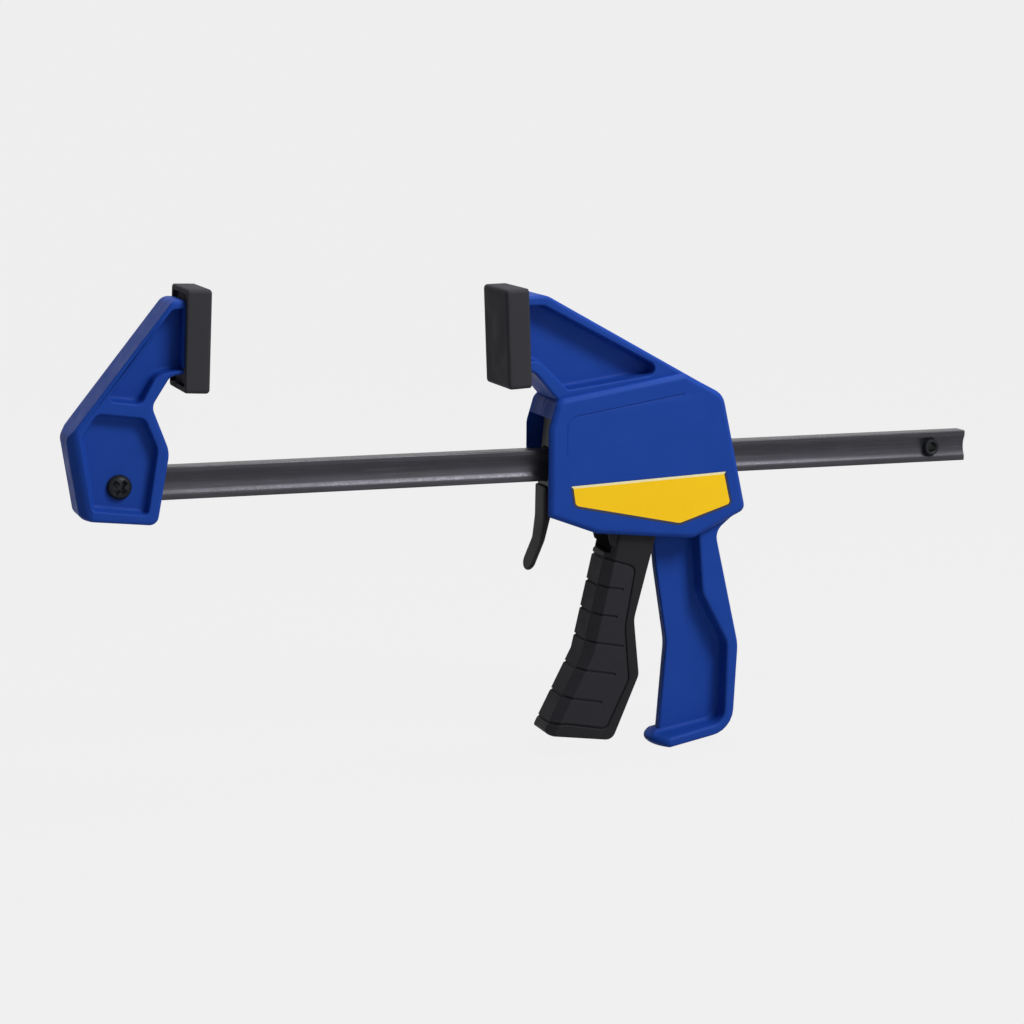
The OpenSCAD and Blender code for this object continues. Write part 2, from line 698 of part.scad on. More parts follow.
at_bar() bar();
at_bar() stop_pin();
at_bar() fixed_jaw();
at_bar() fixed_pad();
at_bar() jaw_screw();
at_bar() jaw_nut();
at_head() shell_near();
at_head() shell_far();
at_head() moving_pad();
at_head() band_near();
at_head() band_far();
at_head() shell_screws();
at_head() trigger_pin();
at_head() trigger();
at_head() trigger_grip();
at_head() drive_plate_front();
at_head() drive_plate_rear();
at_head() drive_spring();
at_head() brake_plate();
at_head() release_lever();
at_head() brake_spring();
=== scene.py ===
"""Looks of the quick release bar clamp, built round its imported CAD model."""
from math import cos, pi, radians, sin

import bmesh
import bpy
import numpy as np
from mathutils import Matrix, Vector
from mathutils.geometry import tessellate_polygon


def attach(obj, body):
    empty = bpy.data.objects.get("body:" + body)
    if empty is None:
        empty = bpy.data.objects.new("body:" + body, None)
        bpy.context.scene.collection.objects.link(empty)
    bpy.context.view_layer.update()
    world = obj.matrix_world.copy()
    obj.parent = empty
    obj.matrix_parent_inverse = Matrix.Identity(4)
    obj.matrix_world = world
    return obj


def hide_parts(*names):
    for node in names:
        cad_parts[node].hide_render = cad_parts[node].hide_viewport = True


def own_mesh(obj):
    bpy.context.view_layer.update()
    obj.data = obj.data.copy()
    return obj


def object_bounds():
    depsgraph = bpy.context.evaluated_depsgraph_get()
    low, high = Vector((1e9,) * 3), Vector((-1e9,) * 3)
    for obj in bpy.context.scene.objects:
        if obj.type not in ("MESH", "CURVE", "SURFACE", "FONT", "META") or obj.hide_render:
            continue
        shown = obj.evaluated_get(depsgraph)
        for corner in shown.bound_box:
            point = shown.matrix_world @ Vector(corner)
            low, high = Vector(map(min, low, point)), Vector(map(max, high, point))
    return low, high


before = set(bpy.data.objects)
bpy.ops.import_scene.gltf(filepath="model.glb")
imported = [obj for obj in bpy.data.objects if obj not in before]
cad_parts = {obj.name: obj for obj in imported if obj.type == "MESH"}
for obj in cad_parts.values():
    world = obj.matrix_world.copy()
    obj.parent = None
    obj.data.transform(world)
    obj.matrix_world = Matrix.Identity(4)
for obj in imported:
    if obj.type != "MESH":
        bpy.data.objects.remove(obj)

cad_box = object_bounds()
mm = 0.001


# ---- Camera ---------------------------------------------------------------------------------------
# A 92 mm lens 1.27 m from the fixed pad, a little above the clamp and to its left. Its place
# comes from the bar, the pads and the body as the photograph shows them.
camera_at = Vector((-278.35, -1226.73, 135.50)) * mm
yaw, pitch, roll = np.radians([19.532, -9.930, 0.392])
ahead = np.array([sin(yaw) * cos(pitch), cos(yaw) * cos(pitch), sin(pitch)])
level = np.cross(ahead, (0, 0, 1))
level /= np.linalg.norm(level)
above = np.cross(level, ahead)
right = level * cos(roll) + above * sin(roll)
up = above * cos(roll) - level * sin(roll)

lens = bpy.data.cameras.new("camera")
lens.lens, lens.sensor_width, lens.clip_end = 92.33, 36, 20
camera = bpy.data.objects.new("camera", lens)
turned = Matrix(np.stack([right, up, -ahead], axis=1).tolist()).to_4x4()
camera.matrix_world = Matrix.Translation(camera_at) @ turned
bpy.context.collection.objects.link(camera)
bpy.context.scene.camera = camera


# ---- Studio ---------------------------------------------------------------------------------------
# Pale paper swept up behind the clamp, a strong soft box at the upper right, a weak one low in
# front and one overhead. The paper keeps a share of their light, so that the shadow stays.
def ink(code):
    """A colour written as sRGB hex, as linear red, green, blue and alpha."""
    share = np.array([int(code[i : i + 2], 16) for i in (1, 3, 5)]) / 255
    linear = np.where(share <= 0.04045, share / 12.92, ((share + 0.055) / 1.055) ** 2.4)
    return (*linear, 1.0)


def node(tree, kind, sockets=(), **settings):
    """A shader node: settings are its own properties, and a socket takes a value or a link."""
    made = tree.nodes.new("ShaderNode" + kind)
    for key, value in settings.items():
        setattr(made, key, value)
    for key, value in dict(sockets).items():
        if isinstance(value, bpy.types.NodeSocket):
            tree.links.new(value, made.inputs[key])
        else:
            made.inputs[key].default_value = value
    return made


def blank(name):
    """A new material and its empty node tree."""
    made = bpy.data.materials.new(name)
    made.use_nodes = True
    made.node_tree.nodes.clear()
    return made, made.node_tree


def grid_faces(rows, cols, closed):
    """Quads between neighbouring rows and columns of a grid, as point numbers; a closed grid
    joins its last column to its first."""
    r, c = np.meshgrid(np.arange(rows - 1), np.arange(cols if closed else cols - 1), indexing="ij")
    a, b = r * cols + c, r * cols + (c + 1) % cols
    return np.stack([a, b, b + cols, a + cols], -1).reshape(-1, 4).tolist()


def looked_at(tree, share):
    """A share where the camera looks straight, by a mirror or through glass, and 0 elsewhere."""
    ray = node(tree, "LightPath").outputs
    either = node(tree, "Math", {0: ray["Is Camera Ray"], 1: ray["Is Glossy Ray"]}, operation="MAXIMUM")
    any_of = node(tree, "Math", {0: either.outputs[0], 1: ray["Is Transmission Ray"]}, operation="MAXIMUM")
    return node(tree, "Math", {0: any_of.outputs[0], 1: share}, operation="MULTIPLY")


# Matt paper, pale and even to the eye. Its fibres are drawn 3 mm apart, coarser than they are, and
# the lamps light a darker tone, so that the paper throws little light back at the clamp.
paper, tree = blank("studio_paper")
seen = looked_at(tree, 0.96)
fibre = node(tree, "TexNoise", {"Vector": node(tree, "TexCoord").outputs["Object"], "Scale": 1 / (3 * mm)})
tone = node(tree, "Mix", {0: fibre.outputs[0], 6: ink("#A6A6A5"), 7: ink("#ACACAB")}, data_type="RGBA")
matt = node(tree, "BsdfDiffuse", {"Color": tone.outputs[2]})
glow = node(tree, "Emission", {"Color": ink("#F2F2F2")})
both = node(tree, "MixShader", {0: seen.outputs[0], 1: matt.outputs[0], 2: glow.outputs[0]})
node(tree, "OutputMaterial", {"Surface": both.outputs[0]})

# flat from its front end to the bend, a quarter circle, then upright, in metres
front_y, bend_y, bend_r, top_z = -2.5, 1.6, 0.9, 3.0
paper_z = cad_box[0][2] - 0.2 * mm
turn = np.linspace(0, pi / 2, 17)[1:]
sweep_y = np.concatenate([[front_y, 0, bend_y], bend_y + bend_r * np.sin(turn), [bend_y + bend_r]])
sweep_z = np.concatenate([[0, 0, 0], bend_r - bend_r * np.cos(turn), [top_z]]) + paper_z
span = np.linspace(-3, 3.4, 9)
cells = (len(sweep_y), len(span))
sheet = np.stack([np.broadcast_to(span, cells), np.broadcast_to(sweep_y[:, None], cells),
                  np.broadcast_to(sweep_z[:, None], cells)], -1)
mesh = bpy.data.meshes.new("floor")
mesh.from_pydata(sheet.reshape(-1, 3).tolist(), [], grid_faces(*cells, False))
mesh.shade_smooth()
mesh.materials.append(paper)
floor = bpy.data.objects.new("floor", mesh)
bpy.context.collection.objects.link(floor)


clamp_middle = Vector((0.12, 0, -0.08))


def soft_box(name, place, size, watts):
    """A square area lamp at a place, turned to the middle of the clamp."""
    lamp = bpy.data.lights.new(name, "AREA")
    lamp.shape, lamp.size, lamp.energy = "SQUARE", size, watts
    made = bpy.data.objects.new(name, lamp)
    way = Vector(place) - clamp_middle
    made.matrix_world = Matrix.Translation(place) @ way.to_track_quat("Z", "Y").to_matrix().to_4x4()
    bpy.context.collection.objects.link(made)


soft_box("key", (0.75, -1.15, 1.2), 0.6, 24)
soft_box("fill", (0.6, -1.6, 0.1), 0.9, 3.5)
soft_box("top", (0.5, 0.1, 1.6), 0.7, 17)

world = bpy.data.worlds.new("studio")
bpy.context.scene.world = world
world.use_nodes = True
tree = world.node_tree
tree.nodes.clear()
air = node(tree, "Mix", {0: looked_at(tree, 1.0).outputs[0], 6: ink("#656565"), 7: ink("#F0F0F0")},
           data_type="RGBA")
node(tree, "OutputWorld", {"Surface": node(tree, "Background", {"Color": air.outputs[2]}).outputs[0]})
bpy.context.scene.view_settings.view_transform = "Standard"


# ---- Bar ------------------------------------------------------------------------------------------
# Rolled steel bar with a shallow hollow along each side, blackened and lightly oiled. The
# rolling leaves its long edges round, and clamping rubs fine lines along it.
def piece(name, mesh, material, slot, body, *nodes, width=0.0):
    """A piece from a mesh: its material and body, and the nodes it replaces; slot is not used. Its weighted
    edges are rounded to a width in mm, and its flats stay flat in the shading."""
    mesh.materials.append(material)
    mesh.shade_smooth()
    mesh.set_sharp_from_angle(angle=radians(40))
    made = bpy.data.objects.new(name, mesh)
    bpy.context.collection.objects.link(made)
    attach(made, body)
    if nodes:
        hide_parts(*nodes)
    if width:
        share, sharp = np.zeros(len(mesh.edges), np.float32), np.zeros(len(mesh.edges), bool)
        mesh.attributes["bevel_weight_edge"].data.foreach_get("value", share)
        mesh.attributes["sharp_edge"].data.foreach_get("value", sharp)
        mesh.attributes["sharp_edge"].data.foreach_set("value", sharp & (share == 0))
        bevel = made.modifiers.new("rounding", "BEVEL")
        bevel.limit_method, bevel.width, bevel.segments = "WEIGHT", width * mm, 3
        bevel.use_clamp_overlap = False
    made.modifiers.new("shading", "WEIGHTED_NORMAL").keep_sharp = True
    return made


weld = 0.002 * mm  # points closer than this are one


def rounded_copy(source, pick):
    """A copy of a CAD node's mesh with its loose triangles merged and its flats rejoined. pick
    (ends of the edges in mm, whether they stand out) gives each edge its share of the Bevel that
    rounds it. An edge that bends by 22 degrees or less gets none."""
    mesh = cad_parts[source].data.copy()
    mesh.name = source + "_rounded"
    mesh.materials.clear()
    bm = bmesh.new()
    bm.from_mesh(mesh)
    bmesh.ops.remove_doubles(bm, verts=bm.verts, dist=weld)
    bmesh.ops.dissolve_limit(bm, angle_limit=radians(0.6), verts=bm.verts, edges=bm.edges)
    ends = np.array([[v.co[:] for v in e.verts] for e in bm.edges]) / mm
    bend = np.degrees([e.calc_face_angle(0) for e in bm.edges])
    proud = np.array([e.is_convex for e in bm.edges])
    share = np.where(bend > 22, pick(ends, proud), 0.0)
    bm.to_mesh(mesh)
    bm.free()
    weight = mesh.attributes.new("bevel_weight_edge", "FLOAT", "EDGE")
    weight.data.foreach_set("value", share.astype(np.float32))
    return mesh


# Rolling and blackening leave a violet grey, half metallic and cloudy over 18 mm or so, with pale
# rubbed lines along the bar. On such steel they are about 0.1 mm apart, and they are drawn at
# 0.5 mm so that they show.
blackened, tree = blank("blackened_rolled_steel")
place = node(tree, "TexCoord").outputs["Object"]
drawn = node(tree, "Mapping", {"Vector": place, "Scale": (0.02, 1, 1)})
lines = node(tree, "TexNoise", {"Vector": drawn.outputs[0], "Scale": 1 / (0.5 * mm), "Detail": 4})
cloud = node(tree, "TexNoise", {"Vector": place, "Scale": 1 / (18 * mm), "Detail": 4})
scale_marks = node(tree, "TexNoise", {"Vector": place, "Scale": 1 / (1.2 * mm), "Detail": 3})
base = node(tree, "Mix", {0: cloud.outputs[0], 6: ink("#2C2B31"), 7: ink("#3A3940")}, data_type="RGBA")
rub = node(tree, "MapRange", {0: lines.outputs[0], 1: 0.55, 2: 0.8, 3: 0.0, 4: 0.5})
worn = node(tree, "Mix", {0: rub.outputs[0], 6: base.outputs[2], 7: ink("#57565D")}, data_type="RGBA")
gloss = node(tree, "MapRange", {0: scale_marks.outputs[0], 1: 0.3, 2: 0.7, 3: 0.30, 4: 0.42})
relief = node(tree, "Bump", {"Height": lines.outputs[0], "Strength": 0.07, "Distance": 0.06 * mm})
skin = node(tree, "BsdfPrincipled", {"Base Color": worn.outputs[2], "Roughness": gloss.outputs[0],
                                     "Normal": relief.outputs[0], "Metallic": 0.55})
node(tree, "OutputMaterial", {"Surface": skin.outputs[0]})

mesh = rounded_copy("bar", lambda ends, proud: np.ptp(ends[..., 0], axis=1) > 50)
piece("rolled_bar", mesh, blackened, "blackened_steel", "bar_body", "bar", width=0.6)


# ---- Fixed jaw ------------------------------------------------------------------------------------
# One moulding of glass filled nylon, pushed over the end of the bar and screwed. Each face has a
# wide pocket round the screw and a narrow one up the arm; the back edge is sloped on both sides.
def outline(corners, inset=0.0, arcs=6):
    """Points round a closed outline whose corners (x, z, radius) run counterclockwise. Every side
    moves in by its inset, a number or one for each side. A corner is an arc about a centre that
    stays put: an outward corner's radius falls by the inset, an inward one's grows, and below
    zero the arc shrinks to the mitre of its sides. A nearly straight corner moves by the mean of
    its sides' insets."""
    corners = np.asarray(corners, float)
    point, radius = corners[:, :2], corners[:, 2]
    after = np.broadcast_to(inset, len(corners)).astype(float)
    before = np.roll(after, 1)
    leave = np.roll(point, -1, 0) - point
    leave /= np.linalg.norm(leave, axis=1)[:, None]
    enter = np.roll(leave, 1, 0)
    cross = enter[:, 0] * leave[:, 1] - enter[:, 1] * leave[:, 0]
    dot = (enter * leave).sum(1)
    side = np.where(cross < 0, -1.0, 1.0)
    in_before = np.stack([-enter[:, 1], enter[:, 0]], 1)
    in_after = np.stack([-leave[:, 1], leave[:, 0]], 1)
    mitre = (in_before + in_after) / (1 + dot)[:, None]
    even = mitre * ((before + after) / 2)[:, None]
    skew = ((before - after * dot)[:, None] * in_before + (after - before * dot)[:, None] * in_after)
    moved = np.where(np.abs(cross)[:, None] < 0.05, even, skew / np.maximum(1 - dot * dot, 1e-6)[:, None])
    left = np.maximum(radius - side * (before + after) / 2, 0)
    centre = point + moved + mitre * (side * left)[:, None]
    first = np.arctan2(-side * in_before[:, 1], -side * in_before[:, 0])
    angle = first[:, None] + np.arctan2(cross, dot)[:, None] * np.linspace(0, 1, arcs + 1)
    arc = left[:, None, None] * np.stack([np.cos(angle), np.sin(angle)], -1)
    return (centre[:, None] + arc).reshape(-1, 2)


def band_of(loops, depths):
    """Loops (rows, points, 2) of x and z, each at its depth y, joined by quads from row to row."""
    loops = np.asarray(loops)
    depth = np.broadcast_to(np.asarray(depths, float).reshape(len(loops), -1), loops.shape[:2])
    points = np.stack([loops[..., 0], depth, loops[..., 1]], -1)
    return points.reshape(-1, 3), grid_faces(*loops.shape[:2], True)


def flat_of(depth, outer, *holes):
    """A flat face at one depth y inside an outer loop and round its holes, cut into triangles.
    Neighbouring points closer than 0.001 mm count once."""
    loops = [loop[np.linalg.norm(loop - np.roll(loop, 1, 0), axis=1) > 1e-3] for loop in (outer, *holes)]
    points = np.concatenate(loops)
    faces = tessellate_polygon([[Vector((x, z, 0)) for x, z in loop] for loop in loops])
    return np.insert(points, 1, depth, axis=1), [list(face) for face in faces]


def turned_out(bm):
    """Turns every closed shell of a mesh so that the volume inside it counts above zero."""
    left = set(bm.faces)
    while left:
        shell, reached = set(), {left.pop()}
        while reached:
            shell |= reached
            edges = {edge for face in reached for edge in face.edges}
            reached = {face for edge in edges for face in edge.link_faces} - shell
        left -= shell
        corners = [[v.co for v in face.verts] for face in shell]
        if sum(c[0].dot(c[i].cross(c[i + 1])) for c in corners for i in range(1, len(c) - 1)) < 0:
            bmesh.ops.reverse_faces(bm, faces=list(shell))


def joined(name, parts, mirrored=False):
    """One mesh from parts, each of points in mm and faces; a mirrored one lies at the other side
    of the bar. Doubles are merged and every closed shell is turned outwards."""
    start = np.cumsum([0] + [len(points) for points, _ in parts])
    points = np.concatenate([points for points, _ in parts]) * (1, -1 if mirrored else 1, 1)
    faces = [[n + first for n in face] for first, (_, those) in zip(start, parts) for face in those]
    mesh = bpy.data.meshes.new(name)
    mesh.from_pydata((points * mm).tolist(), [], faces)
    bm = bmesh.new()
    bm.from_mesh(mesh)
    bmesh.ops.remove_doubles(bm, verts=bm.verts, dist=weld)
    bmesh.ops.dissolve_degenerate(bm, edges=bm.edges, dist=weld / 2)
    bmesh.ops.recalc_face_normals(bm, faces=bm.faces)
    turned_out(bm)
    bm.to_mesh(mesh)
    bm.free()
    return mesh


def quarter(radius, steps=4):
    """A quarter circle from a face round to its side: how far in from the side and how far
    below the face, as arrays."""
    angle = np.linspace(0, pi / 2, steps + 1)
    return radius * (1 - np.sin(angle)), radius * (1 - np.cos(angle))


def pocket_of(corners, face, floor, rim=0.9, fillet=2.0, draft=0.5):
    """A pocket from its round rim, down a wall that leans in by the draft, through a fillet to
    its floor, as loops and depths from the face inwards. face and floor are depths below 0."""
    run, drop = quarter(rim)
    foot, rise = quarter(fillet)
    insets = np.concatenate([-run, draft + foot[::-1]])
    depths = np.concatenate([face + drop, floor - rise[::-1]])
    return np.stack([outline(corners, inset) for inset in insets]), depths


def softened(below, radius):
    """How far a round edge of some radius has moved in at a depth below its face."""
    short = np.clip(radius - below, 0, radius)
    return radius - np.sqrt(radius * radius - short * short)


def frame_of(corners, radii, wall, face, floor, slope=None, fillet=2.0):
    """The raised frame round a pocket that opens at the jaw's tip, as loops and depths from its
    face to its floor. The sides named by wall lean in by 0.4 mm and end in a fillet; the others
    go straight down, apart from the slope (side, depths to inset). Each edge has its radius."""
    round_h, draft = 2.0, 0.4
    foot, rise = quarter(fillet, 5)
    top = face - round_h * (1 - np.cos(np.linspace(0, pi / 2, 7)))
    depths = np.concatenate([top, np.linspace(face - round_h, floor + fillet, 9)[1:-1], floor + rise[::-1]])
    insets = softened((face - depths)[:, None], np.asarray(radii, float)[None])
    lean_in = draft * (face - depths) / (face - floor)
    lean_in[-len(foot):] += foot[::-1]
    insets[:, wall] -= lean_in[:, None]
    if slope:
        insets[:, slope[0]] += slope[1](depths)
    return np.stack([outline(corners, inset) for inset in insets]), depths


def middle_of(loops, corners, first, last):
    """The corners of the middle under a frame, met by the frame's inner corners first to last
    where they end at the tip, and the pocket's floor as a loop."""
    loop = loops[-1].reshape(len(corners), -1, 2)
    ends = np.column_stack([[loop[first, 0], loop[last, -1]], [0, 0]])
    return np.concatenate([corners[:first], ends, corners[last + 1:]]), loop[first:last + 1].reshape(-1, 2)


bar_z = -68.7  # the bar's middle, from the middle of the fixed pad
lean = radians(2.25)


def row(corners, x):
    """Corners moved to the clamp's frame from an origin on the bar's middle at x."""
    return np.asarray(corners, float) + (x, bar_z, 0)


# Moulded nylon: a deep blue, slightly cloudy where the melt flowed, with single pale fibres under
# the skin and a dull gloss. Glass fibres of about 0.01 mm and a mould's grain of about 0.1 mm are
# too fine to show, and are drawn at 0.5 and 0.28 mm.
blue, tree = blank("blue_glass_filled_nylon")
place = node(tree, "TexCoord").outputs["Object"]
flow = node(tree, "TexNoise", {"Vector": place, "Scale": 1 / (30 * mm), "Detail": 3, "Distortion": 1.2})
fibre = node(tree, "TexNoise", {"Vector": place, "Scale": 1 / (0.5 * mm), "Detail": 3})
grain = node(tree, "TexNoise", {"Vector": place, "Scale": 1 / (0.28 * mm), "Detail": 2})
haze = node(tree, "TexNoise", {"Vector": place, "Scale": 1 / (9 * mm), "Detail": 5})
base = node(tree, "Mix", {0: flow.outputs[0], 6: ink("#183E95"), 7: ink("#1E459F")}, data_type="RGBA")
pick = node(tree, "MapRange", {0: fibre.outputs[0], 1: 0.56, 2: 0.78, 3: 0.0, 4: 0.30})
tint = node(tree, "Mix", {0: pick.outputs[0], 6: base.outputs[2], 7: ink("#2C57AE")}, data_type="RGBA")
gloss = node(tree, "MapRange", {0: haze.outputs[0], 1: 0.3, 2: 0.7, 3: 0.44, 4: 0.58})
relief = node(tree, "Bump", {"Height": grain.outputs[0], "Strength": 0.10, "Distance": 0.06 * mm})
skin = node(tree, "BsdfPrincipled", {"Base Color": tint.outputs[2], "Roughness": gloss.outputs[0],
                                     "Normal": relief.outputs[0], "Specular IOR Level": 0.08})
node(tree, "OutputMaterial", {"Surface": skin.outputs[0]})

jaw_x = -12.2  # the back of the fixed pad
jaw_y, arm_floor, screw_floor = 14, 5, 8  # how deep the jaw's sides and its pockets' floors lie
jaw_form = row([(-50.6, -14.9, 5), (-14.2, -18.8, 4.5), (-7.7, 16.5, 14), (-15.9, 38.4, 6), (-6.7, 52.6, 5),
                (-0.66, 53.4, 0), (0.70, 88.05, 0), (-4.8, 88.6, 6), (-56.4, 24.1, 6)], jaw_x)
screw_pocket = row([(-49.8, 24.5, 6), (-45.4, -9.9, 3), (-18.8, -13.4, 2.4), (-13.6, 18, 8), (-19.5, 33, 4),
                    (-42.2, 36, 4)], jaw_x)
arm_pocket = row([(-0.55, 55.5, 0), (-13.5, 53.6, 8), (-21.2, 39.6, 4), (-37.8, 41.9, 2.4), (-6, 83.8, 5),
                  (0.55, 84.7, 0)], jaw_x)
jaw_frame = np.concatenate([jaw_form[:6], arm_pocket, jaw_form[6:]])
inner, back_side = (6, 11), 14  # first and last corner of the pocket, and the jaw's back edge
edge_radii = [2, 2, 2, 2, 1.2, 0, 0.6, 0.9, 0.9, 0.9, 0.9, 0, 2, 2, 1.6]


def back_slope(depth):
    """How far the jaw's back edge has moved in at a depth: nothing up to 8.6 mm from the middle,
    then a slope that steepens slightly, up to 4.1 mm at 13.8."""
    return 4.1 * np.clip((depth - 8.6) / 5.2, 0, 1) ** 1.15


loops, depths = frame_of(jaw_frame, edge_radii, slice(*inner), jaw_y, arm_floor, (back_side, back_slope))
well, well_ys = pocket_of(screw_pocket, -jaw_y, -screw_floor)
core, floor_loop = middle_of(loops, jaw_frame, *inner)
parts = [band_of([outline(core)] * 2, [-arm_floor, arm_floor])]
for side in (-1, 1):
    parts += [band_of(loops, side * depths), flat_of(side * jaw_y, loops[0], well[0])]
    parts += [flat_of(side * arm_floor, floor_loop)]
    parts += [band_of(well, -side * well_ys), flat_of(side * screw_floor, well[-1])]


def tilted(points, turn, middle):
    """Points turned about the Y axis and moved to their middle."""
    spin = np.array([[cos(turn), 0, sin(turn)], [0, 1, 0], [-sin(turn), 0, cos(turn)]])
    return points @ spin.T + middle


def block_of(x0, x1, y, z0, z1, turn, middle, radius=0.8):
    """A block with round upright and lying edges, from x0 to x1 and z0 to z1, y to each side,
    turned about the Y axis and moved to its middle."""
    corners = [(x0, z0, radius), (x1, z0, radius), (x1, z1, radius), (x0, z1, radius)]
    run, drop = quarter(radius)
    insets, ys = np.concatenate([run, run[::-1]]), np.concatenate([drop - y, y - drop[::-1]])
    loops = np.stack([outline(corners, inset, 3) for inset in insets])
    sides = [band_of(loops, ys), flat_of(-y, loops[0]), flat_of(y, loops[-1])]
    return [(tilted(points, turn, middle), faces) for points, faces in sides]


def tip_of(facing, turn, middle):
    """The plate at a jaw's tip, inside the pad, and the neck behind it, placed from the middle of
    the pad's face. The jaw lies at the +X side of it where facing is 1 and at the other for -1."""
    plate, neck = sorted((3.4 * facing, 8.8 * facing)), sorted((8.0 * facing, 13.0 * facing))
    return (block_of(*plate, 14.6, -21.3, 21.3, turn, middle)
            + block_of(*neck, 13.1, -13.4, 17.9, turn, middle))


fixed_pad_middle = (0, 0, 0)  # of its face, which is the clamp's origin
parts += tip_of(-1, lean, fixed_pad_middle)
piece("jaw_moulding", joined("jaw_moulding", parts), blue, "blue_nylon", "bar_body", "fixed_jaw")


# ---- Head shells ----------------------------------------------------------------------------------
# Two mouldings of the same blue nylon, parted along the middle and screwed together from the far
# side. Each is an arm with a pocket, a hollow body whose side stands proud, and half a handle.
head_x = 147.6  # the middle of the moving pad's face
moving_pad_middle = (head_x, 0, -3.6)
tip_x, body_x = head_x + 12.2, head_x + 22.5  # the back of that pad, and the body's front edge
panel_y, side_y = 19, 16.2  # the raised side of the body: its face and the face behind it
plate_y, bar_y = 8.3, 5.05  # the room for the steel plates and for the bar
arm_y, rib_y, web_y = 15, 14, 3  # the faces of the arm's frame, the handle's rib and its web
root_y, boss_y = side_y + 0.5, 12.9  # where inner ribs start, and the end of the pin's boss
well_r, arm_seat_y, web_seat_y = 3.6, 3.2, 1.2  # the screws' wells, and their floors in arm and web
parting = 0.25  # the chamfer along the parting line

arm_form = np.concatenate([
    row([(6.4, 31.6, 0), (91.5, 31.6, 0), (92.4, 35.0, 8)], body_x),
    row([(9.4, 86.5, 10), (-0.75, 86.15, 0), (0.7, 48.8, 0), (2.9, 48.8, 7)], tip_x),
    row([(4.9, 34.4, 4)], body_x)])
arm_frame = np.concatenate([
    arm_form[:5], row([(-0.55, 81.5, 0), (8.1, 81.5, 5)], tip_x),
    row([(65, 46.2, 3.5), (10.9, 39, 2.2)], body_x),
    row([(5.6, 53.9, 8), (0.5, 53.9, 0)], tip_x), arm_form[5:]])

# Corners that several outlines share: up the body's back and over its top, the roof and rear end
# of its hollow, and the seat of the brake plate's upper end.
body_back = [(107.5, -25.6, 4), (93.9, 34.2, 10), (72.2, 45.6, 6), (4.4, 34.8, 6)]
hollow = [(14, 30.5, 1.5), (78.4, 30.5, 1.5), (81.4, 27, 1.5)]
seat = [(5.9, 24.8, 0), (5.9, 28.2, 0), (11.3, 28.2, 0), (11.3, 24.8, 0)]
body_form = row([(0, -24.2, 3), (25.9, -33.9, 10), (78.4, -39.2, 8), *body_back, (0, 20, 10)], body_x)
far_form = row([(7, -26.8, 1.5), (25.9, -33.9, 10), (78.4, -39.2, 8), *body_back, (0, 20, 10), (0, -9, 1.5),
                (7, -9, 4)], body_x)
rear_wall = row([(81.4, -37.8, 0), *body_back, (1.45, 24.8, 0), (12, 24.8, 0), *hollow], body_x)
seat_wall = row([(81.4, -37.8, 0), *body_back, (1.45, 24.8, 0), *seat, (12, 24.8, 0), *hollow], body_x)
upper_wall = row([(81.4, 8.3, 0), (99.8, 8.3, 0), *body_back[1:], (1.45, 24.8, 0), *seat, (12, 24.8, 0),
                  *hollow], body_x)
lower_wall = row([(81.4, -37.8, 0), body_back[0], (103.57, -8.3, 0), (81.4, -8.3, 0)], body_x)
chin = row([(14.4, -29.6, 0), (25.9, -33.9, 10), (31.15, -34.4, 0), (27.5, -20.5, 1.5),
            (15, -20.5, 1.5)], body_x)
spring_wall = row([(17.9, -14, 0), (20.9, -14, 0), (20.9, 14, 0), (17.9, 14, 0)], body_x)
rib_form = row([(84, -32, 0), (83.4, -38, 8), (86, -69, 14), (100.5, -96, 10), (100, -138.4, 8),
                (63.2, -144.4, 1.5), (60.4, -146.6, 2), (64, -149.6, 2.5), (104.6, -143.2, 14),
                (106.8, -97, 25), (92.8, -37, 8), (104, -28, 0)], body_x)
web_form = row([(62, -34, 0), (64.4, -56, 20), (70.9, -96, 30), (67, -147, 0), (103, -141, 0),
                (103, -97, 0), (90, -60, 0), (90, -34, 0)], body_x)
band_form = row([(11.1, -8.9, 0.8), (12.8, -19.9, 4), (70.4, -31.8, 6), (99.5, -22.6, 3),
                 (95.4, -5.2, 0.8)], body_x)


def edge_of(corners, face, back, rim):
    """The side of a plate from its face at one depth to its back, with a round edge at the face
    and a fine chamfer at the back, as loops and depths."""
    run, drop = quarter(rim)
    insets = np.concatenate([run, [0, parting]])
    way = np.sign(back - face)
    depths = np.concatenate([face + way * drop, [back - way * parting, back]])
    return np.stack([outline(corners, inset) for inset in insets]), depths


def prism_of(corners, y0, y1, *rings, chamfer=0.0):
    """A straight wall between two depths, with round wells through it and a fine chamfer at y1.
    It starts 0.012 mm inside the wall that it stands on."""
    y0 -= 0.012
    back = outline(corners, chamfer)
    side = [outline(corners), outline(corners), back] if chamfer else [outline(corners), back]
    ys = [y0, y1 + np.sign(y0 - y1) * chamfer, y1] if chamfer else [y0, y1]
    parts = [band_of(side, ys), flat_of(y0, side[0], *rings), flat_of(y1, back, *rings)]
    return parts + [band_of([ring, ring], [y0, y1]) for ring in rings]


def well_of(ring, mouth, floor):
    """The straight wall of a well or a boss between two depths, and its flat end at the second."""
    return [band_of([ring, ring], [mouth, floor]), flat_of(floor, ring)]


def circle(x, z, radius, n=24):
    """A counterclockwise circle of n points, from the bar's middle and the body's front edge."""
    angle = np.arange(n) * 2 * pi / n
    return np.stack([body_x + x + radius * np.cos(angle), bar_z + z + radius * np.sin(angle)], -1)


